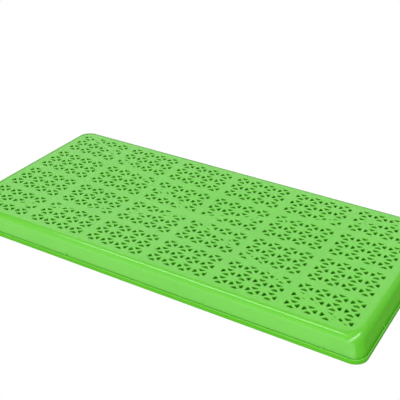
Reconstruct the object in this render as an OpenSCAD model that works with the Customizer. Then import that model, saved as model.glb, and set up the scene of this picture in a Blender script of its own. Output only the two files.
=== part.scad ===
/* [Overall] */
// Length over the rim, along X
length = 600; // [500:5:720]
// Width over the rim, along Y
width = 305; // [250:5:370]
// Height from the rim's resting face to the top of the floor
height = 25; // [20:0.5:40]
// Radius of the upright corners, seen from above
corner_r = 17; // [12:0.5:24]

/* [Shell] */
// Thickness of the perforated floor
floor_t = 2; // [1.2:0.1:3]
// Thickness of the side walls
wall_t = 2; // [1.2:0.1:3]
// Radius of the rounded edge between the floor and the walls
edge_r = 12; // [6:0.5:14]
// Lean of the side walls from upright, in degrees
draft = 23; // [10:1:26]

/* [Rim] */
// Thickness of the flange that the tray rests on
flange_t = 2; // [1.2:0.1:3]
// Thickness of the lip that stands up from the flange's outer edge
lip_t = 1.4; // [1:0.1:2.5]
// Height of the lip above the resting face
lip_h = 6.2; // [4:0.1:8]
// Width of the gutter's bottom, between the wall's foot and the lip
gutter_w = 0.4; // [0.2:0.1:3]

/* [Gussets] */
// Thickness of each gusset that ties the lip to the wall
gusset_t = 1.5; // [1:0.1:3]
// Height at which a gusset's sloping top meets the wall
gusset_h = 9.5; // [7:0.5:12]
// How far a gusset's top stays below the lip's top
gusset_drop = 0.4; // [0:0.1:1]
// From the tray's middle to the inner gussets of the long sides
gusset_inner_x = 100; // [60:1:160]
// From the tray's ends to the outer gussets of the long sides
gusset_end_x = 48; // [30:1:80]
// From the tray's long edges to the gussets of the short sides
gusset_end_y = 73.5; // [30:0.5:110]

/* [Floor pattern] */
// Plain border between the rounded edge and the outer panels
border = 5; // [3:0.5:12]
// Plain band between neighbouring panels
band = 7; // [4:0.5:12]
// Rib between neighbouring crossed squares
rib = 4.4; // [3:0.1:6]
// Diagonal strut of a crossed square
strut = 3.7; // [2:0.1:5]
// Solid bar that runs across the floor from corner to corner
bar_w = 5.2; // [3:0.1:10]

/* [Hidden] */

// Panels along X and Y, and crossed squares in each panel
panels_x = 6;
panels_y = 4;
cells_x = 4;
cells_y = 3;

// Steps round the edge's arc, and round an upright corner
edge_steps = 8;
corner_steps = 12;
// How far the straight sides' ends stand back from the corners
seam_back = 1;
// Reach of a block that cuts all the way across
far = 1000;
green = [0.51, 0.83, 0.38];

// The edge's arc ends, and the straight lean begins, this far out and this far down
arc_out = edge_r * cos(draft);
arc_down = edge_r * (1 - sin(draft));
// How far the wall's outer face stands out from the flat floor at height z
function wall_out(z) = arc_out + (height - arc_down - z) * tan(draft);
// Its inner face, measured level, is nearer the middle by this much
wall_level_t = wall_t / cos(draft);

// Outside of the flat floor to the rim's outer edge
foot_out = wall_out(flange_t);
foot_in = foot_out - wall_level_t;
rim_out = foot_out + gutter_w + lip_t;
lip_in = rim_out - lip_t;

// Half sizes of the flat part of the floor
flat_x = length / 2 - rim_out;
flat_y = width / 2 - rim_out;
// The straight sides end, and the corner pieces begin, here
seam_x = flat_x - corner_r - seam_back;
seam_y = flat_y - corner_r - seam_back;

// Pitches of the crossed squares and of the panels
cell_x = (2 * (flat_x - border) - (panels_x - 1) * band) / (panels_x * cells_x);
cell_y = (2 * (flat_y - border) - (panels_y - 1) * band) / (panels_y * cells_y);
panel_x = cells_x * cell_x;
panel_y = cells_y * cell_y;
function panel_mid_x(c) = (c - (panels_x + 1) / 2) * (panel_x + band);
function panel_mid_y(r) = (r - (panels_y + 1) / 2) * (panel_y + band);

// Half sizes of a crossed square's opening, and the lean of its diagonals
open_x = (cell_x - rib) / 2;
open_y = (cell_y - rib) / 2;
lean = atan2(open_y, open_x);
// Tips of the four triangles, measured from the square's middle
tip_x = strut / 2 / sin(lean);
tip_y = strut / 2 / cos(lean);
// Half of the bases of the end triangles and of the side triangles
base_y = (open_x - tip_x) * tan(lean);
base_x = (open_y - tip_y) / tan(lean);

// The wall's section: X is the distance out from the flat floor, Y the height
outer_line = concat(
  [for (i = [0 : edge_steps]) edge_point(edge_r, i)],
  [[foot_out, flange_t]]
);
inner_line = concat(
  [for (i = [0 : edge_steps]) edge_point(edge_r - wall_t, i)],
  [[foot_in, flange_t]]
);
function edge_point(r, i) =
  let (a = i * (90 - draft) / edge_steps)
  [r * sin(a), height - edge_r + r * cos(a)];
function reversed(list) = [for (i = [len(list) - 1 : -1 : 0]) list[i]];

// One triangle with its base on the opening's edge and its tip near the middle
module end_triangle() {
  polygon([[open_x, -base_y], [open_x, base_y], [tip_x, 0]]);
}

module side_triangle() {
  polygon([[-base_x, open_y], [0, tip_y], [base_x, open_y]]);
}

// The four holes of one crossed square
module crossed_square() {
  end_triangle();
  mirror([1, 0]) end_triangle();
  side_triangle();
  mirror([0, 1]) side_triangle();
}

// The two solid bars from corner to corner of the flat floor
module diagonal_bars() {
  bar_lean = atan2(flat_y, flat_x);
  for (a = [bar_lean, -bar_lean])
    rotate(a) square([2 * far, bar_w], center = true);
}

// One perforated panel of the floor, in row r from the front and column c from the left
module floor_panel(r, c) {
  mid = [panel_mid_x(c), panel_mid_y(r)];
  color(green) translate([0, 0, height - floor_t]) linear_extrude(floor_t)
    difference() {
      translate(mid) square([panel_x, panel_y], center = true);
      difference() {
        for (i = [0 : cells_x - 1], j = [0 : cells_y - 1])
          translate(mid + [(i - (cells_x - 1) / 2) * cell_x, (j - (cells_y - 1) / 2) * cell_y])
            crossed_square();
        diagonal_bars();
      }
    }
}

// Point i of the round corner at +X and +Y, with its flanks this far out from the flat floor
function corner_plan(out, r, i) =
  let (a = i * 90 / corner_steps)
  [flat_x + out - r + r * cos(a), flat_y + out - r + r * sin(a)];

// A rectangle with round corners that stands out from the flat floor all round
module rounded_plan(out, r) {
  quarter = [for (i = [0 : corner_steps]) corner_plan(out, r, i)];
  left = [for (p = reversed(quarter)) [-p[0], p[1]]];
  polygon(concat(quarter, left, [for (p = quarter) -p], [for (p = reversed(quarter)) [p[0], -p[1]]]));
}

// The plain border and bands that hold the panels
module floor_frame() {
  color(green) translate([0, 0, height - floor_t]) linear_extrude(floor_t)
    difference() {
      rounded_plan(0, corner_r);
      for (c = [1 : panels_x], r = [1 : panels_y])
        translate([panel_mid_x(c), panel_mid_y(r)]) square([panel_x, panel_y], center = true);
    }
}

// A straight wall along X, its outside towards -Y
module wall_side(half_y, seam) {
  color(green) translate([seam, -half_y, 0]) rotate([90, 0, -90]) linear_extrude(2 * seam)
    polygon(concat(outer_line, reversed(inner_line)));
}

// The wall's section round a corner, as a closed line of [distance out, height, corner radius]
corner_section = concat(
  [for (p = outer_line) [p[0], p[1], corner_r]],
  [for (i = [len(inner_line) - 1 : -1 : 1]) [inner_line[i][0], inner_line[i][1], corner_r - wall_t]],
  [[inner_line[0][0], inner_line[0][1], corner_r]]
);
// The section is carried from the seam on the +X side, round the corner, to the seam on the +Y side
last_station = corner_steps + 2;
function at_station(s, q) =
  s == 0 ? [flat_x + q[0], seam_y, q[1]] :
  s == last_station ? [seam_x, flat_y + q[0], q[1]] :
  concat(corner_plan(q[0], q[2], s - 1), q[1]);

// The wall round the corner at +X and +Y
module wall_corner() {
  n = len(corner_section);
  points = [for (s = [0 : last_station], q = corner_section) at_station(s, q)];
  sides = [
    for (s = [0 : last_station - 1], k = [0 : n - 1])
      [s * n + k, (s + 1) * n + k, (s + 1) * n + (k + 1) % n, s * n + (k + 1) % n]
  ];
  first_end = [for (k = [0 : n - 1]) k];
  last_end = [for (k = [n - 1 : -1 : 0]) last_station * n + k];
  color(green) polyhedron(points, concat(sides, [first_end, last_end]));
}

// The flange and the lip along one side, the outside towards -Y
module rim_side(half_y, seam) {
  color(green) union() {
    translate([-seam, -half_y - rim_out, 0]) cube([2 * seam, rim_out - foot_in, flange_t]);
    translate([-seam, -half_y - rim_out, 0]) cube([2 * seam, lip_t, lip_h]);
  }
}

// The flange and the lip round the corner at +X and +Y
module rim_corner() {
  color(green) intersection() {
    union() {
      linear_extrude(flange_t) difference() {
        rounded_plan(rim_out, corner_r);
        rounded_plan(foot_in, corner_r - wall_t);
      }
      linear_extrude(lip_h) difference() {
        rounded_plan(rim_out, corner_r);
        rounded_plan(lip_in, corner_r - lip_t);
      }
    }
    translate([seam_x, seam_y, 0]) cube(far);
  }
}

// One gusset across the gutter of the front side, at x
module gusset(half_y, x) {
  translate([x + gusset_t / 2, -half_y, 0]) rotate([90, 0, -90]) linear_extrude(gusset_t)
    polygon([
      [foot_out, flange_t],
      [lip_in, flange_t],
      [lip_in, lip_h - gusset_drop],
      [wall_out(gusset_h), gusset_h]
    ]);
}

module rim_gussets() {
  long_places = [gusset_inner_x, length / 2 - gusset_end_x];
  short_place = width / 2 - gusset_end_y;
  color(green) {
    for (turn = [0, 180], side = [-1, 1], x = long_places)
      rotate(turn) gusset(flat_y, side * x);
    for (turn = [90, 270], side = [-1, 1])
      rotate(turn) gusset(flat_x, side * short_place);
  }
}

floor_frame();
for (r = [1 : panels_y], c = [1 : panels_x])
  floor_panel(r, c);

wall_side(flat_y, seam_x);  // wall_front
rotate(180) wall_side(flat_y, seam_x);  // wall_back
rotate(-90) wall_side(flat_x, seam_y);  // wall_left
rotate(90) wall_side(flat_x, seam_y);  // wall_right
wall_corner();  // wall_corner_back_right
mirror([1, 0, 0]) wall_corner();  // wall_corner_back_left
mirror([0, 1, 0]) wall_corner();  // wall_corner_front_right
rotate(180) wall_corner();  // wall_corner_front_left

rim_side(flat_y, seam_x);  // rim_front
rotate(180) rim_side(flat_y, seam_x);  // rim_back
rotate(-90) rim_side(flat_x, seam_y);  // rim_left
rotate(90) rim_side(flat_x, seam_y);  // rim_right
rim_corner();  // rim_corner_back_right
mirror([1, 0, 0]) rim_corner();  // rim_corner_back_left
mirror([0, 1, 0]) rim_corner();  // rim_corner_front_right
rotate(180) rim_corner();  // rim_corner_front_left
rim_gussets();
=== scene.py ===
# %% [markdown]
# # A perforated nest tray in green plastic
#
# A nest tray is one thin injection moulding: a floor full of small holes, four leaning walls
# and a narrow lipped rim. Here it lies upside down on a table, floor uppermost, as it is stacked
# and sold. This lesson builds the looks of such a tray around a finished CAD model. The CAD model
# gives every size, so the first step is to load it and to note its box.

# %% Load the CAD frame
import math
import bpy
from mathutils import Matrix, Vector


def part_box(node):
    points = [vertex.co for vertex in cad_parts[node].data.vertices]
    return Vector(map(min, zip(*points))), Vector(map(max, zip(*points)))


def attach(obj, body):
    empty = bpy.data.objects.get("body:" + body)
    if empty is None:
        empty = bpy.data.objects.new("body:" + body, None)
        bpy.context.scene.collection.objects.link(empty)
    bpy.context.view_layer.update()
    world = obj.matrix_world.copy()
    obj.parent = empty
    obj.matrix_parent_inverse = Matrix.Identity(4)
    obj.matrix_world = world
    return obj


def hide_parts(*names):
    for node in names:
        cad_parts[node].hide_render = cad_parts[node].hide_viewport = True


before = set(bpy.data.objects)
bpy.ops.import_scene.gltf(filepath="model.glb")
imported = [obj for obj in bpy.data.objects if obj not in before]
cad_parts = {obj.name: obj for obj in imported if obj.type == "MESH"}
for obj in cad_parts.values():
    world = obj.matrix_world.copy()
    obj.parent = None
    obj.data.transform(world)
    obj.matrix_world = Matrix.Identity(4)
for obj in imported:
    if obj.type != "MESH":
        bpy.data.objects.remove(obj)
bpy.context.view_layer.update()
MM = 0.001
print("CAD nodes:", len(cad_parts))

# %% [markdown]
# ## Sizes
#
# The flat floor, the rim and the panels are measured from the CAD nodes, so that the looks follow
# the design if it changes. The few sizes that a box can't show, such as a radius or a slope, are
# named here once, in millimetres turned to metres.

# %% Measure the frame
floor_low, floor_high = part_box("floor_frame")
wall_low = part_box("wall_front")[0]
rim_low, rim_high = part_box("rim_front")
HALF_X = floor_high.x
HALF_Y = floor_high.y
TOP = floor_high.z
FLOOR_T = floor_high.z - floor_low.z
FLANGE_T = wall_low.z
FOOT_OUT = -wall_low.y - HALF_Y
RIM_OUT = -rim_low.y - HALF_Y
LIP_H = rim_high.z

CORNER_R = 17 * MM
EDGE_R = 12 * MM
WALL_T = 2 * MM
LIP_T = 1.4 * MM
DRAFT = math.radians(23)

PANELS_X = 6
PANELS_Y = 4
CELLS_X = 4
CELLS_Y = 3
RIB = 4.4 * MM
STRUT = 3.7 * MM
BAR_W = 5.2 * MM
panel_low, panel_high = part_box("floor_panel_r1c1")
PANEL_X = panel_high.x - panel_low.x
PANEL_Y = panel_high.y - panel_low.y
CELL_X = PANEL_X / CELLS_X
CELL_Y = PANEL_Y / CELLS_Y
print(f"flat floor {2 * HALF_X:.4f} x {2 * HALF_Y:.4f} m, cell {CELL_X:.5f} x {CELL_Y:.5f} m")

# %% [markdown]
# ## Small helpers
#
# An operator acts on everything that is selected, so each piece starts from an empty selection.
# In edit mode the parts of a mesh are picked by a rule about their place, as a person would
# box-select them, and then one operator is called.


# %% Helpers for modelling
def deselect_all():
    """Nothing selected and nothing in edit mode."""
    if bpy.context.object and bpy.context.object.mode != "OBJECT":
        bpy.ops.object.mode_set(mode="OBJECT")
    bpy.ops.object.select_all(action="DESELECT")


def only(piece):
    """Makes piece the one selected and active object."""
    deselect_all()
    piece.select_set(True)
    bpy.context.view_layer.objects.active = piece


def pick(piece, kind, rule):
    """In edit mode, selects what passes rule, and nothing else.

    The rule gets a vertex's place, an edge's two ends, or a face's middle and normal.
    """
    bpy.ops.mesh.select_mode(type=kind)
    bpy.ops.mesh.select_all(action="DESELECT")
    bpy.ops.object.mode_set(mode="OBJECT")
    mesh = piece.data
    points = [v.co for v in mesh.vertices]
    if kind == "VERT":
        for v in mesh.vertices:
            v.select = rule(v.co)
    elif kind == "EDGE":
        for e in mesh.edges:
            a, b = (points[i] for i in e.vertices)
            e.select = rule(a, b)
    else:
        for f in mesh.polygons:
            f.select = rule(f.center, f.normal)
    bpy.ops.object.mode_set(mode="EDIT")


def faces_up(middle, normal):
    """Whether a face looks upwards."""
    return normal.z > 0.9


def settle(piece):
    """Puts the piece's place into its mesh, so that its object sits at the origin."""
    only(piece)
    bpy.ops.object.transform_apply(location=True, rotation=True, scale=True)


def apply_modifier(piece, kind, **settings):
    """Adds one modifier, with its settings, and applies it."""
    only(piece)
    modifier = piece.modifiers.new(kind.title(), kind)
    for name, value in settings.items():
        setattr(modifier, name, value)
    bpy.ops.object.modifier_apply(modifier=modifier.name)


def copy_of(piece, name, move=(0, 0, 0)):
    """A copy with its own mesh, moved into its place."""
    new = piece.copy()
    new.data = piece.data.copy()
    new.name = name
    bpy.context.scene.collection.objects.link(new)
    new.data.transform(Matrix.Translation(move))
    return new


def joined(pieces, name):
    """All the pieces as one object."""
    only(pieces[0])
    for p in pieces:
        p.select_set(True)
    bpy.ops.object.join()
    pieces[0].name = name
    return pieces[0]


# %% [markdown]
# ## The plastic
#
# Such trays are moulded in polypropylene, PP, coloured through. The mould is polished, so the
# skin is glossy, but it cools unevenly: it has a faint long waviness, and a very fine grain. PP lets
# a little light in, which makes its shadows greener than a paint's would be. So the material is one
# Principled shader with a light subsurface share, and two noise patterns: one for the slight
# variation of colour and gloss, and one for the bump. The real grain is finer than 0.9 mm, and it is
# drawn that coarse so that it shows. Constants go straight on the shader's sockets.


# %% Moulded polypropylene
def linear(hex_colour):
    """An sRGB hex colour as the linear RGBA that a shader takes."""
    parts = [int(hex_colour[i:i + 2], 16) / 255 for i in (1, 3, 5)]
    return [c / 12.92 if c <= 0.04045 else ((c + 0.055) / 1.055) ** 2.4 for c in parts] + [1]


def add_node(tree, kind, settings=None, **inputs):
    """Adds a node. A setting is a property, and an input is a value or another node's socket."""
    node = tree.nodes.new(kind)
    for name, value in (settings or {}).items():
        setattr(node, name, value)
    for name, value in inputs.items():
        socket = node.inputs[int(name[1:])] if name[0] == "_" else node.inputs[name.replace("_", " ")]
        if isinstance(value, bpy.types.NodeSocket):
            tree.links.new(value, socket)
        else:
            socket.default_value = value
    return node


PLASTIC_GREEN = "#5AB127"
PLASTIC_DEEP = "#52AB22"
WAVE_MM = 55
WAVE_RANGE = (0.3, 0.7)
ROUGHNESS_RANGE = (0.14, 0.18)
GRAIN_MM = 0.9
GRAIN_STRENGTH = 0.06
GRAIN_DEPTH = 0.05 * MM
PP_IOR = 1.49
LIGHT_INSIDE = 0.3
LIGHT_DEPTH = 2 * MM
LIGHT_REACH = (0.5, 1.0, 0.3)


def moulded_polypropylene():
    """Glossy coloured PP from a polished mould."""
    material = bpy.data.materials.new("moulded_green_polypropylene")
    material.use_nodes = True
    tree = material.node_tree
    tree.nodes.clear()
    place = add_node(tree, "ShaderNodeTexCoord").outputs["Object"]
    wave = add_node(tree, "ShaderNodeTexNoise", Vector=place, Scale=1 / (WAVE_MM * MM), Detail=2.0)
    grain = add_node(tree, "ShaderNodeTexNoise", Vector=place, Scale=1 / (GRAIN_MM * MM), Detail=2.0)
    colour = add_node(
        tree, "ShaderNodeMix", {"data_type": "RGBA"},
        _0=wave.outputs["Fac"], _6=linear(PLASTIC_GREEN), _7=linear(PLASTIC_DEEP),
    )
    gloss = add_node(
        tree, "ShaderNodeMapRange",
        Value=wave.outputs["Fac"], From_Min=WAVE_RANGE[0], From_Max=WAVE_RANGE[1],
        To_Min=ROUGHNESS_RANGE[0], To_Max=ROUGHNESS_RANGE[1],
    )
    bump = add_node(
        tree, "ShaderNodeBump",
        Strength=GRAIN_STRENGTH, Distance=GRAIN_DEPTH, Height=grain.outputs["Fac"],
    )
    shader = add_node(
        tree, "ShaderNodeBsdfPrincipled",
        Base_Color=colour.outputs[2], Roughness=gloss.outputs[0], IOR=PP_IOR, Normal=bump.outputs[0],
        Subsurface_Weight=LIGHT_INSIDE, Subsurface_Scale=LIGHT_DEPTH, Subsurface_Radius=LIGHT_REACH,
    )
    add_node(tree, "ShaderNodeOutputMaterial", Surface=shader.outputs[0])
    return material


plastic = moulded_polypropylene()
print("material:", plastic.name)

# %% [markdown]
# ## The hole of the pattern
#
# Each small square of the floor is crossed by two diagonal struts, which leaves four triangular
# holes. On the mould, a hole is a tapered steel core with its corners rounded, and the plastic
# shrinks to a soft edge round it. The same thing works here: a three-sided prism is the core, its
# upright edges are bevelled, and its top flares out to a quarter round. Cutting with such a core
# leaves a hole with soft edges, and no bevel is needed on the holed sheet.

# %% The core of one triangular hole
OPEN_X = (CELL_X - RIB) / 2
OPEN_Y = (CELL_Y - RIB) / 2
LEAN = math.atan2(OPEN_Y, OPEN_X)
TIP_X = STRUT / 2 / math.sin(LEAN)
TIP_Y = STRUT / 2 / math.cos(LEAN)
BASE_Y = (OPEN_X - TIP_X) * math.tan(LEAN)
BASE_X = (OPEN_Y - TIP_Y) / math.tan(LEAN)

HOLE_CORNER = 2.2 * MM
SOFT = 0.45 * MM
OVERSHOOT = 0.05 * MM
BELOW = 1 * MM
DIAGONAL = math.sqrt(0.5)


def triangle_core(name, far_side, tip, half_base, turn):
    """A core whose base is far_side from the square's middle and whose tip points at the middle.

    A three-sided prism of radius 1 is 1.5 high and the cosine of 30 degrees wide to each side.
    """
    height = far_side - tip
    slope = math.hypot(height, half_base)
    inner_r = height * half_base / (half_base + slope)
    deselect_all()
    low = TOP - FLOOR_T - BELOW
    shoulder = TOP - SOFT
    bpy.ops.mesh.primitive_cylinder_add(
        vertices=3, radius=1, depth=shoulder - low, location=(0, 0, (shoulder + low) / 2)
    )
    core = bpy.context.object
    core.name = name
    core.scale = (half_base / math.cos(math.radians(30)), height / 1.5, 1)
    core.rotation_euler.z = math.pi
    core.location.y = tip + height / 1.5
    settle(core)
    bpy.ops.object.mode_set(mode="EDIT")
    pick(core, "EDGE", lambda a, b: abs(a.z - b.z) > MM)
    bpy.ops.mesh.bevel(offset=HOLE_CORNER, offset_type="WIDTH", segments=2, affect="EDGES")
    middle = (0, far_side - inner_r, 0)
    for out, level in flare_levels():
        grown = (inner_r + out[1]) / (inner_r + out[0])
        pick(core, "FACE", faces_up)
        bpy.ops.mesh.extrude_region_move(TRANSFORM_OT_translate={"value": (0, 0, level)})
        bpy.ops.transform.resize(value=(grown, grown, 1), center_override=middle)
    bpy.ops.mesh.select_all(action="SELECT")
    bpy.ops.mesh.normals_make_consistent(inside=False)
    bpy.ops.transform.rotate(value=turn, orient_axis="Z", center_override=(0, 0, 0))
    deselect_all()
    return core


def flare_levels():
    """The quarter round in two steps, each as (outward before and after, upward).

    It runs on a little past the top.
    """
    half_way = SOFT * (1 - DIAGONAL)
    rise = SOFT * DIAGONAL
    run = SOFT - half_way
    drop = SOFT - rise
    past = OVERSHOOT / drop
    return [
        ((0, half_way), rise),
        ((half_way, half_way + run * (1 + past)), drop * (1 + past)),
    ]


cores = [
    triangle_core(f"core_{i}", far_side, tip, half_base, math.radians(90 * i))
    for i, (far_side, tip, half_base) in enumerate([(OPEN_Y, TIP_Y, BASE_X), (OPEN_X, TIP_X, BASE_Y)] * 2)
]
print("cores:", [len(c.data.polygons) for c in cores])

# %% [markdown]
# ## Four holes, one square, one panel
#
# The four cores become one square's worth, and then rows and columns of them fill a panel. Only
# the first set is modelled: the rest are copies, each with its own mesh.

# %% All the cores of one panel, round the origin
square = joined(cores, "square_cores")
panel_cores = []
for column in range(CELLS_X):
    for row in range(CELLS_Y):
        x = (column - (CELLS_X - 1) / 2) * CELL_X
        y = (row - (CELLS_Y - 1) / 2) * CELL_Y
        panel_cores.append(copy_of(square, f"cores_{column}_{row}", (x, y, 0)))
core_set = joined(panel_cores, "panel_cores")
bpy.data.objects.remove(square)
print("cores in a panel:", CELLS_X * CELLS_Y * 4)

# %% [markdown]
# ## The two diagonal bars
#
# Two solid bars cross the whole floor from corner to corner and stiffen it. They lie flush in the
# floor, and where one passes through the pattern it fills the holes, partly or whole. So the bars
# are cut from the cores before the cores cut the panels. Their tops narrow in the same quarter
# round, which gives the filled holes the same soft edge.


# %% The bars that are cut from the cores
def diagonal_bar(name, turn):
    """A bar along a diagonal, wide at the bottom and narrowing round its top edges."""
    deselect_all()
    low = TOP - FLOOR_T - 2 * BELOW
    shoulder = TOP - SOFT
    bpy.ops.mesh.primitive_cube_add(size=1, location=(0, 0, (shoulder + low) / 2))
    bar = bpy.context.object
    bar.name = name
    bar.scale = (2 * math.hypot(HALF_X, HALF_Y), BAR_W, shoulder - low)
    settle(bar)
    bpy.ops.object.mode_set(mode="EDIT")
    for out, level in flare_levels() + [((0, 0), BELOW)]:
        pick(bar, "FACE", faces_up)
        narrower = (BAR_W / 2 - out[1]) / (BAR_W / 2 - out[0])
        bpy.ops.mesh.extrude_region_move(TRANSFORM_OT_translate={"value": (0, 0, level)})
        bpy.ops.transform.resize(value=(1, narrower, 1), center_override=(0, 0, 0))
    bpy.ops.mesh.select_all(action="SELECT")
    bpy.ops.transform.rotate(value=-turn, orient_axis="Z", center_override=(0, 0, 0))
    deselect_all()
    return bar


BAR_LEAN = math.atan2(HALF_Y, HALF_X)
bars = [diagonal_bar("bar_up", BAR_LEAN), diagonal_bar("bar_down", -BAR_LEAN)]
print("bars:", [tuple(round(d, 3) for d in b.dimensions) for b in bars])


# %% [markdown]
# ## The sag of the floor
#
# A wide thin floor sags a little between its stiff walls as the moulding cools. It hangs like a
# shallow hammock: nothing at the edges, most in the middle, and it starts late from the long
# sides, which the higher power gives. One formula moves every point of the floor's pieces, so that
# neighbours still meet.

# %% The sag
SAG = 4.6 * MM
SAG_POWER_X = 1
SAG_POWER_Y = 2
SOFT_START = 4 * MM


def sag_share(place, half, power):
    """From 0 at the edge to 1 in the middle, along one direction, with a soft start."""
    from_edge = max(half - abs(place), 0)
    if not from_edge:
        return 0
    return (1 - (place / half) ** 2) ** power * (1 - math.exp(-from_edge / SOFT_START))


def sag_down(piece):
    """Lowers each point of a floor piece by the sag at its place."""
    for v in piece.data.vertices:
        share_x = sag_share(v.co.x, HALF_X, SAG_POWER_X)
        v.co.z -= SAG * share_x * sag_share(v.co.y, HALF_Y, SAG_POWER_Y)
    piece.data.update()


print(f"sag in the middle: {SAG / MM:.1f} mm")

# %% [markdown]
# ## Twenty-four perforated panels
#
# A panel starts as a grid with one face for each crossed square, so that it can bend with the sag.
# Solidify gives it its thickness downwards, and the cores, less the bars, are cut from it. The
# pattern is the same in each quarter of the floor, turned over like a page, so six panels are cut
# and the other eighteen are mirrored copies. A mirrored mesh is inside out, so its normals are
# flipped back. The top is flat and the soft hole edges are narrow, so weighted normals let the top
# keep its own shading.


# %% Cut six panels
SMOOTH_ANGLE = math.radians(50)


def dress(piece):
    """Gives a piece the plastic and lets it ride on the tray's one body."""
    piece.data.materials.clear()
    piece.data.materials.append(plastic)
    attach(piece, "root")


def finish_floor_piece(piece):
    """Sag, smooth shading that keeps the flat top flat, the plastic, and its ride."""
    sag_down(piece)
    only(piece)
    bpy.ops.object.shade_smooth_by_angle(angle=SMOOTH_ANGLE)
    apply_modifier(piece, "WEIGHTED_NORMAL", mode="FACE_AREA", weight=100, keep_sharp=True)
    dress(piece)


def cut_panel(node):
    """A panel at the place of a CAD node, with its own share of the bars cut from its cores."""
    low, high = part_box(node)
    middle = (low + high) / 2
    deselect_all()
    bpy.ops.mesh.primitive_grid_add(
        x_subdivisions=CELLS_X, y_subdivisions=CELLS_Y, size=1, location=(middle.x, middle.y, TOP)
    )
    panel = bpy.context.object
    panel.scale = (PANEL_X, PANEL_Y, 1)
    settle(panel)
    apply_modifier(panel, "SOLIDIFY", thickness=FLOOR_T, offset=-1)
    cutter = copy_of(core_set, "cutter", (middle.x, middle.y, 0))
    for bar in bars:
        apply_modifier(cutter, "BOOLEAN", operation="DIFFERENCE", solver="EXACT", object=bar)
    apply_modifier(panel, "BOOLEAN", operation="DIFFERENCE", solver="EXACT", object=cutter)
    bpy.data.objects.remove(cutter)
    return panel


cut_panels = {(r, c): cut_panel(f"floor_panel_r{r}c{c}") for r in (1, 2) for c in (4, 5, 6)}
for helper in [core_set] + bars:
    bpy.data.objects.remove(helper)
print("faces in each cut panel:", [len(p.data.polygons) for p in cut_panels.values()])


# %% Mirror them to all twenty-four places
def flip_faces(piece):
    """Turns the faces of a mirrored mesh outwards again."""
    only(piece)
    bpy.ops.object.mode_set(mode="EDIT")
    bpy.ops.mesh.select_all(action="SELECT")
    bpy.ops.mesh.flip_normals()
    deselect_all()


panels = []
for row in range(1, PANELS_Y + 1):
    for column in range(1, PANELS_X + 1):
        at_back = row > PANELS_Y / 2
        at_left = column <= PANELS_X / 2
        source = (PANELS_Y + 1 - row if at_back else row, PANELS_X + 1 - column if at_left else column)
        panel = copy_of(cut_panels[source], f"perforated_panel_r{row}c{column}")
        panel.data.transform(Matrix.Diagonal((-1 if at_left else 1, -1 if at_back else 1, 1, 1)))
        if at_left != at_back:
            flip_faces(panel)
        finish_floor_piece(panel)
        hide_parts(f"floor_panel_r{row}c{column}")
        panels.append(panel)
for piece in cut_panels.values():
    bpy.data.objects.remove(piece)
print("panels:", len(panels))

# %% [markdown]
# ## The plain bands round the panels
#
# The bands and the border are one flat grid with 24 windows. It starts as a plane whose four
# corners are rounded. Bisecting it along every panel edge draws the windows, and bisecting it
# along the squares as well gives its edges the same points as the panels' edges, so that both
# follow the sag alike. Then the windows are deleted and Solidify adds the thickness.

# %% The frame of the floor
CORNER_STEPS = 16


def rounded_plane(name):
    """A flat plane of the floor's outline, left in edit mode."""
    deselect_all()
    bpy.ops.mesh.primitive_plane_add(size=2, location=(0, 0, TOP))
    plane = bpy.context.object
    plane.name = name
    plane.scale = (HALF_X, HALF_Y, 1)
    settle(plane)
    bpy.ops.object.mode_set(mode="EDIT")
    bpy.ops.mesh.select_all(action="SELECT")
    bpy.ops.mesh.bevel(offset=CORNER_R, segments=CORNER_STEPS, affect="VERTICES")
    return plane


def panel_lines(count, panel_size, cells, edge):
    """The places of all the square edges along one direction, from a first panel's low edge."""
    pitch = (-2 * edge - panel_size) / (count - 1)
    return [edge + i * pitch + j * panel_size / cells for i in range(count) for j in range(cells + 1)]


def soft_lines(half):
    """Two lines beside each edge, where the sag sets in."""
    return [half - SOFT_START / 2, half - SOFT_START, SOFT_START / 2 - half, SOFT_START - half]


bands = rounded_plane("floor_bands")
for x in panel_lines(PANELS_X, PANEL_X, CELLS_X, panel_low.x) + soft_lines(HALF_X):
    bpy.ops.mesh.select_all(action="SELECT")
    bpy.ops.mesh.bisect(plane_co=(x, 0, TOP), plane_no=(1, 0, 0))
for y in panel_lines(PANELS_Y, PANEL_Y, CELLS_Y, panel_low.y) + soft_lines(HALF_Y):
    bpy.ops.mesh.select_all(action="SELECT")
    bpy.ops.mesh.bisect(plane_co=(0, y, TOP), plane_no=(0, 1, 0))

windows = [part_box(n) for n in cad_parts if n.startswith("floor_panel")]
pick(bands, "FACE", lambda c, n: any(a.x < c.x < b.x and a.y < c.y < b.y for a, b in windows))
bpy.ops.mesh.delete(type="FACE")
deselect_all()
apply_modifier(bands, "SOLIDIFY", thickness=FLOOR_T, offset=-1)
finish_floor_piece(bands)
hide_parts("floor_frame")
print("floor bands:", len(bands.data.polygons), "faces")

# %% [markdown]
# ## Walls and rim in one sweep
#
# Walls, gutter and lip run into one another without a seam, so they are one piece here, though the
# CAD model keeps them apart. The way a modeller would draw it: take the outline of the flat floor,
# and extrude it again and again, each time outwards and down a little, along the section of the
# wall. At the corners the leaning wall keeps one radius all the way down, so each quarter of the
# outline just moves diagonally. The wall's inner outline has a smaller radius, so that the wall
# stays even in thickness, and the lip's outlines share one middle, so that the lip does too. At the
# end the section is back at its start, and merging the doubles there closes the ring.


# %% The section of wall and rim
def arc(middle, radius, start, end, steps):
    """Points of an arc in the section, from start to end in degrees. 0 points outwards and 90 up."""
    angles = [math.radians(start + (end - start) * i / steps) for i in range(steps + 1)]
    return [(middle[0] + radius * math.cos(a), middle[1] + radius * math.sin(a)) for a in angles]


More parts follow.
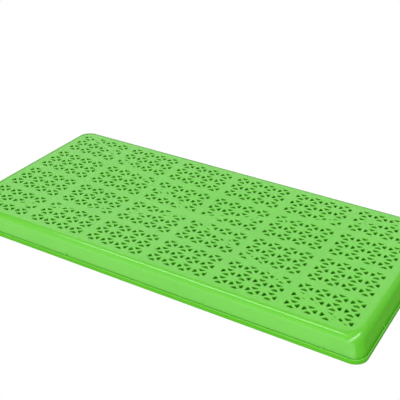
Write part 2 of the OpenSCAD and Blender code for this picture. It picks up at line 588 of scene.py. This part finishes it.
ARC_STEPS = 14
LIP_STEPS = 6
BOTTOM_STEPS = 3
ALMOST_UP = 89
GUTTER_R = 0.5 * MM
LIP_R = LIP_T / 2
BOTTOM_R = 0.4 * MM
LIP_IN = RIM_OUT - LIP_T
FOOT_IN = FOOT_OUT - WALL_T / math.cos(DRAFT)
lean_degrees = math.degrees(DRAFT)
edge_middle = (0, TOP - EDGE_R)

# Every point of the section is (how far out from the flat floor, level). The gutter's two corners
# are small slopes.
outer = arc(edge_middle, EDGE_R, ALMOST_UP, lean_degrees, ARC_STEPS)
gutter_at_wall = [
    (FOOT_OUT - GUTTER_R, FLANGE_T + 2.4 * GUTTER_R),
    (FOOT_OUT, FLANGE_T + 0.4 * GUTTER_R),
]
gutter_at_lip = [
    (LIP_IN - 0.2 * GUTTER_R, FLANGE_T + 0.1 * GUTTER_R),
    (LIP_IN, FLANGE_T + GUTTER_R),
]
lip = arc((RIM_OUT - LIP_R, LIP_H - LIP_R), LIP_R, 180, 0, LIP_STEPS)
bottom = arc((RIM_OUT - BOTTOM_R, BOTTOM_R), BOTTOM_R, 0, -90, BOTTOM_STEPS)
foot = [(FOOT_IN, 0), (FOOT_IN, FLANGE_T)]
inner = arc(edge_middle, EDGE_R - WALL_T, lean_degrees, 90, ARC_STEPS)[:-1]
section = (
    [(out, level, CORNER_R) for out, level in outer + gutter_at_wall]
    + [(out, level, CORNER_R - (RIM_OUT - out)) for out, level in gutter_at_lip + lip + bottom]
    + [(out, level, CORNER_R - WALL_T) for out, level in foot + inner]
    + [(0, TOP - FLOOR_T, CORNER_R), (0, TOP, CORNER_R)]
)
print("section points:", len(section))


# %% Sweep it round the tray
def corner_middle(quarter, out, radius):
    """The middle of one corner's arc, for an outline this far out."""
    return (quarter[0] * (HALF_X + out - radius), quarter[1] * (HALF_Y + out - radius), 0)


def sweep_section():
    """Extrudes the floor's outline along the section and closes the ring on itself."""
    ring = rounded_plane("walls_and_rim")
    bpy.ops.mesh.select_all(action="SELECT")
    bpy.ops.mesh.delete(type="ONLY_FACE")
    bpy.ops.mesh.select_mode(type="EDGE")
    bpy.ops.mesh.select_all(action="SELECT")
    before = (0, TOP, CORNER_R)
    for step in section:
        bpy.ops.mesh.extrude_edges_move(TRANSFORM_OT_translate={"value": (0, 0, 0)})
        newest = [v.index for v in selected_vertices(ring)]
        for quarter in [(1, 1), (-1, 1), (-1, -1), (1, -1)]:
            select_quarter(ring, newest, quarter)
            old = Vector(corner_middle(quarter, before[0], before[2]))
            new = Vector(corner_middle(quarter, step[0], step[2]))
            share = step[2] / before[2]
            bpy.ops.transform.resize(value=(share, share, 1), center_override=old)
            bpy.ops.transform.translate(value=(new.x - old.x, new.y - old.y, step[1] - before[1]))
        select_indices(ring, newest)
        bpy.ops.mesh.select_mode(type="EDGE")
        before = step
    bpy.ops.mesh.select_all(action="SELECT")
    bpy.ops.mesh.remove_doubles(threshold=MM / 100)
    bpy.ops.mesh.normals_make_consistent(inside=False)
    deselect_all()
    return ring


def selected_vertices(piece):
    """The vertices that are selected in edit mode."""
    piece.update_from_editmode()
    return [v for v in piece.data.vertices if v.select]


def select_indices(piece, wanted):
    """Selects vertices by their numbers."""
    bpy.ops.mesh.select_mode(type="VERT")
    bpy.ops.mesh.select_all(action="DESELECT")
    bpy.ops.object.mode_set(mode="OBJECT")
    for i in wanted:
        piece.data.vertices[i].select = True
    bpy.ops.object.mode_set(mode="EDIT")


def select_quarter(piece, wanted, quarter):
    """Selects those of the vertices that lie in one quarter of the plan."""
    places = piece.data.vertices
    inside = [i for i in wanted if places[i].co.x * quarter[0] > 0 and places[i].co.y * quarter[1] > 0]
    select_indices(piece, inside)


walls = sweep_section()
only(walls)
bpy.ops.object.shade_smooth_by_angle(angle=SMOOTH_ANGLE)
dress(walls)
wall_nodes = [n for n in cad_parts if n.startswith(("wall_", "rim_")) and n != "rim_gussets"]
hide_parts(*wall_nodes)
print("walls and rim:", len(walls.data.polygons), "faces, stands for", len(wall_nodes), "nodes")

# %% [markdown]
# ## Twelve gussets
#
# Small ribs tie the thin lip to the wall, four on each long side and two on each short side. Each
# is a cube whose vertices are moved to the slope of the wall and of its own top, then bevelled.
# It is made once at the front and turned and copied to the other places.

# %% Gussets
GUSSET_T = 1.5 * MM
GUSSET_H = 9.5 * MM
GUSSET_DROP = 0.4 * MM
GUSSET_SOFT = 0.35 * MM
INNER_GUSSET_X = 100 * MM
OUTER_GUSSET_X = HALF_X + RIM_OUT - 48 * MM
SHORT_GUSSET_Y = HALF_Y + RIM_OUT - 73.5 * MM
SUNK = 0.5 * MM
GUSSET_SMOOTH_ANGLE = math.radians(40)


def wall_out(level):
    """How far the wall's outer face stands out from the flat floor at this height."""
    return FOOT_OUT - (level - FLANGE_T) * math.tan(DRAFT)


def gusset(name, half, along, turn):
    """One gusset for the side that lies half away from the middle, turned to that side.

    The cube is 1 m wide and high, and each of its four long edges is moved to its own place.
    """
    deselect_all()
    bpy.ops.mesh.primitive_cube_add(size=1, location=(0, 0, FLANGE_T + 0.5))
    rib = bpy.context.object
    rib.name = name
    rib.scale.x = GUSSET_T
    settle(rib)
    bpy.ops.object.mode_set(mode="EDIT")
    edges = [
        (1, False, wall_out(FLANGE_T) - SUNK, FLANGE_T),
        (-1, False, LIP_IN + SUNK, FLANGE_T),
        (1, True, wall_out(GUSSET_H) - SUNK, GUSSET_H),
        (-1, True, LIP_IN + SUNK, LIP_H - GUSSET_DROP),
    ]
    for side, upper, out, level in edges:
        pick(rib, "VERT", lambda p: p.y * side > 0.4 and (p.z > FLANGE_T + 0.5) == upper)
        before = FLANGE_T + (1 if upper else 0)
        bpy.ops.transform.translate(value=(0, -half - out - side / 2, level - before))
    pick(rib, "EDGE", lambda a, b: min(a.z, b.z) > FLANGE_T + MM and abs(a.x - b.x) < MM / 10)
    bpy.ops.mesh.bevel(offset=GUSSET_SOFT, segments=2, affect="EDGES")
    bpy.ops.mesh.select_all(action="SELECT")
    bpy.ops.transform.translate(value=(along, 0, 0))
    bpy.ops.mesh.normals_make_consistent(inside=False)
    deselect_all()
    rib.data.transform(Matrix.Rotation(turn, 4, "Z"))
    return rib


ribs = []
for turn, half, places in [(0, HALF_Y, (INNER_GUSSET_X, OUTER_GUSSET_X)), (90, HALF_X, (SHORT_GUSSET_Y,))]:
    for opposite in (0, 180):
        for side in (-1, 1):
            for place in places:
                ribs.append(gusset(f"rib_{len(ribs)}", half, side * place, math.radians(turn + opposite)))
gussets = joined(ribs, "lip_gussets")
bpy.ops.object.shade_smooth_by_angle(angle=GUSSET_SMOOTH_ANGLE)
dress(gussets)
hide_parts("rim_gussets")
print("gussets:", len(ribs))

# %% [markdown]
# ## The setting
#
# The tray lies on a plain white table that runs on past the view. In a studio such a table is
# lit from below until it burns out to pure white. The table's material does the same outside the
# tray's rim: it glows, for the eye and for scattered light. Only its mirror image in the glossy
# plastic is a painted reflection of dark grey, or the walls would reflect a white sheet. Under the
# tray it doesn't glow, or the holes would look white and not dark. There it is painted green, a
# painted shade in the green of the light that the plastic lets through. The tray's outline is the
# distance from a rectangle, so that its corners are round.


# %% Table
WHITE = "#FFFFFF"
MIRRORED_GREY = "#484848"
# Painted shade: the green that the table is painted under the tray, for the shade and the green light let
# through by the plastic.
PAINTED_SHADE_UNDER_TRAY = "#3FA01C"
TABLE_SIZE = 30
TABLE_GAP = 0.5 * MM
TABLE_GLOW = 1.0


def table_top():
    """A large table under the tray, glowing white to the eye everywhere but under the tray."""
    deselect_all()
    bpy.ops.mesh.primitive_plane_add(size=TABLE_SIZE, location=(0, 0, -TABLE_GAP))
    table = bpy.context.object
    table.name = "table"
    settle(table)
    material = bpy.data.materials.new("lit_white_table")
    material.use_nodes = True
    tree = material.node_tree
    tree.nodes.clear()
    place = add_node(tree, "ShaderNodeTexCoord").outputs["Object"]
    axes = add_node(tree, "ShaderNodeSeparateXYZ", Vector=place)
    past = []
    for axis, half in (("X", HALF_X + RIM_OUT), ("Y", HALF_Y + RIM_OUT)):
        size = add_node(tree, "ShaderNodeMath", {"operation": "ABSOLUTE"}, _0=axes.outputs[axis])
        more = add_node(
            tree, "ShaderNodeMath", {"operation": "SUBTRACT"}, _0=size.outputs[0], _1=half - CORNER_R
        )
        kept = add_node(tree, "ShaderNodeMath", {"operation": "MAXIMUM"}, _0=more.outputs[0], _1=0)
        past.append(kept.outputs[0])
    corner = add_node(tree, "ShaderNodeCombineXYZ", X=past[0], Y=past[1])
    reach = add_node(tree, "ShaderNodeVectorMath", {"operation": "LENGTH"}, _0=corner.outputs[0])
    outside = add_node(
        tree, "ShaderNodeMath", {"operation": "GREATER_THAN"}, _0=reach.outputs["Value"], _1=CORNER_R - MM
    )
    mirrored = add_node(tree, "ShaderNodeLightPath").outputs["Is Glossy Ray"]
    share = add_node(
        tree, "ShaderNodeMath", {"operation": "GREATER_THAN"}, _0=outside.outputs[0], _1=mirrored
    )
    glow = add_node(tree, "ShaderNodeEmission", Color=linear(WHITE), Strength=TABLE_GLOW)
    # Under the tray a painted green shade, outside it a painted dark grey reflection seen only by glossy
    # rays.
    tint = add_node(
        tree, "ShaderNodeMix", {"data_type": "RGBA"},
        Factor=outside.outputs[0], _6=linear(PAINTED_SHADE_UNDER_TRAY), _7=linear(MIRRORED_GREY),
    )
    grey = add_node(tree, "ShaderNodeBsdfDiffuse", Color=tint.outputs[2])
    both = add_node(
        tree, "ShaderNodeMixShader", _0=share.outputs[0], _1=grey.outputs[0], _2=glow.outputs[0]
    )
    add_node(tree, "ShaderNodeOutputMaterial", Surface=both.outputs[0])
    table.data.materials.append(material)
    print("table:", material.name)


table_top()

# %% [markdown]
# ## Light
#
# Glossy plastic shows its lights as shapes, so each soft box is there for what it draws. A wide
# box low in front lights the front wall and pales its rounded edge. A strip overhead draws the thin
# line along the front edge, and a strip above the right end makes the bright patch on the rounded
# corner. A panel behind is mirrored in the floor and gives it its sheen. The two that are left are
# broad and weak and soften the steps between the others. The sky fills in the rest: it is dim at
# the horizon and brighter higher up. A box is placed by its middle and by the point that it faces.


# %% World and soft boxes
def soft_box(name, place, aim, size, radiance):
    """A rectangular soft box turned towards aim. Its power follows from its area and its brightness."""
    lamp = bpy.data.lights.new(name, "AREA")
    lamp.shape = "RECTANGLE"
    lamp.size, lamp.size_y = size
    lamp.energy = radiance * math.pi * size[0] * size[1]
    box = bpy.data.objects.new(name, lamp)
    bpy.context.scene.collection.objects.link(box)
    facing = (Vector(aim) - Vector(place)).to_track_quat("-Z", "Y")
    box.matrix_world = Matrix.Translation(place) @ facing.to_matrix().to_4x4()


SKY_AT_HORIZON = 0.06
SKY_ABOVE = 0.45
SKY_FULL_AT = 0.5
SOFT_BOXES = [
    ("front_box", (-0.05, -1.4, 0.55), (0, -0.1, 0), (3.8, 1.1), 1.95),
    ("front_upper_box", (-0.3, -1.1, 1.5), (0, -0.1, 0), (2.8, 0.9), 0.8),
    ("overhead_panel", (-0.5, 0.1, 1.6), (-0.5, 0.1, 0), (1.6, 0.9), 0.7),
    ("overhead_strip", (-0.5, -0.02, 1.5), (-0.5, -0.02, 0), (1.2, 0.18), 8),
    ("right_strip", (0.78, -0.1, 1.4), (0.3, -0.1, 0), (2.2, 0.3), 7),
    ("back_panel", (-0.6, 1.7, 1.15), (0, 0, 0), (2.6, 1.0), 1.0),
]

world = bpy.data.worlds.new("studio")
bpy.context.scene.world = world
world.use_nodes = True
sky = world.node_tree
direction = add_node(sky, "ShaderNodeTexCoord").outputs["Generated"]
upward = add_node(sky, "ShaderNodeSeparateXYZ", Vector=direction).outputs["Z"]
brightness = add_node(
    sky, "ShaderNodeMapRange",
    Value=upward, From_Min=0.0, From_Max=SKY_FULL_AT, To_Min=SKY_AT_HORIZON, To_Max=SKY_ABOVE,
)
sky.nodes["Background"].inputs["Color"].default_value = linear(WHITE)
sky.links.new(brightness.outputs[0], sky.nodes["Background"].inputs["Strength"])
for name, place, aim, size, radiance in SOFT_BOXES:
    soft_box(name, place, aim, size, radiance)
bpy.context.scene.view_settings.view_transform = "Standard"
print("soft boxes:", len(SOFT_BOXES))

# %% [markdown]
# ## The camera
#
# The camera looks along the tray from its near right corner, from a little above. It is placed by
# the point that it aims at, its two angles, its distance and a slight roll.

# %% Camera
AIM = Vector((-0.0099, 0.0339, 0.0257))
AZIMUTH = math.radians(30.13)
ELEVATION = math.radians(29.05)
DISTANCE = 1.1095
ROLL = math.radians(0.76)
LENS_MM = 71.93

across = Vector((math.cos(AZIMUTH), math.sin(AZIMUTH), 0))
back = Vector((
    math.sin(AZIMUTH) * math.cos(ELEVATION),
    -math.cos(AZIMUTH) * math.cos(ELEVATION),
    math.sin(ELEVATION),
))
turned = Matrix.Rotation(ROLL, 3, back) @ Matrix((across, back.cross(across), back)).transposed()
camera_data = bpy.data.cameras.new("camera")
camera_data.lens = LENS_MM
camera = bpy.data.objects.new("camera", camera_data)
bpy.context.scene.collection.objects.link(camera)
camera.matrix_world = Matrix.Translation(AIM + back * DISTANCE) @ turned.to_4x4()
bpy.context.scene.camera = camera
print("camera at", tuple(round(c, 3) for c in camera.location))
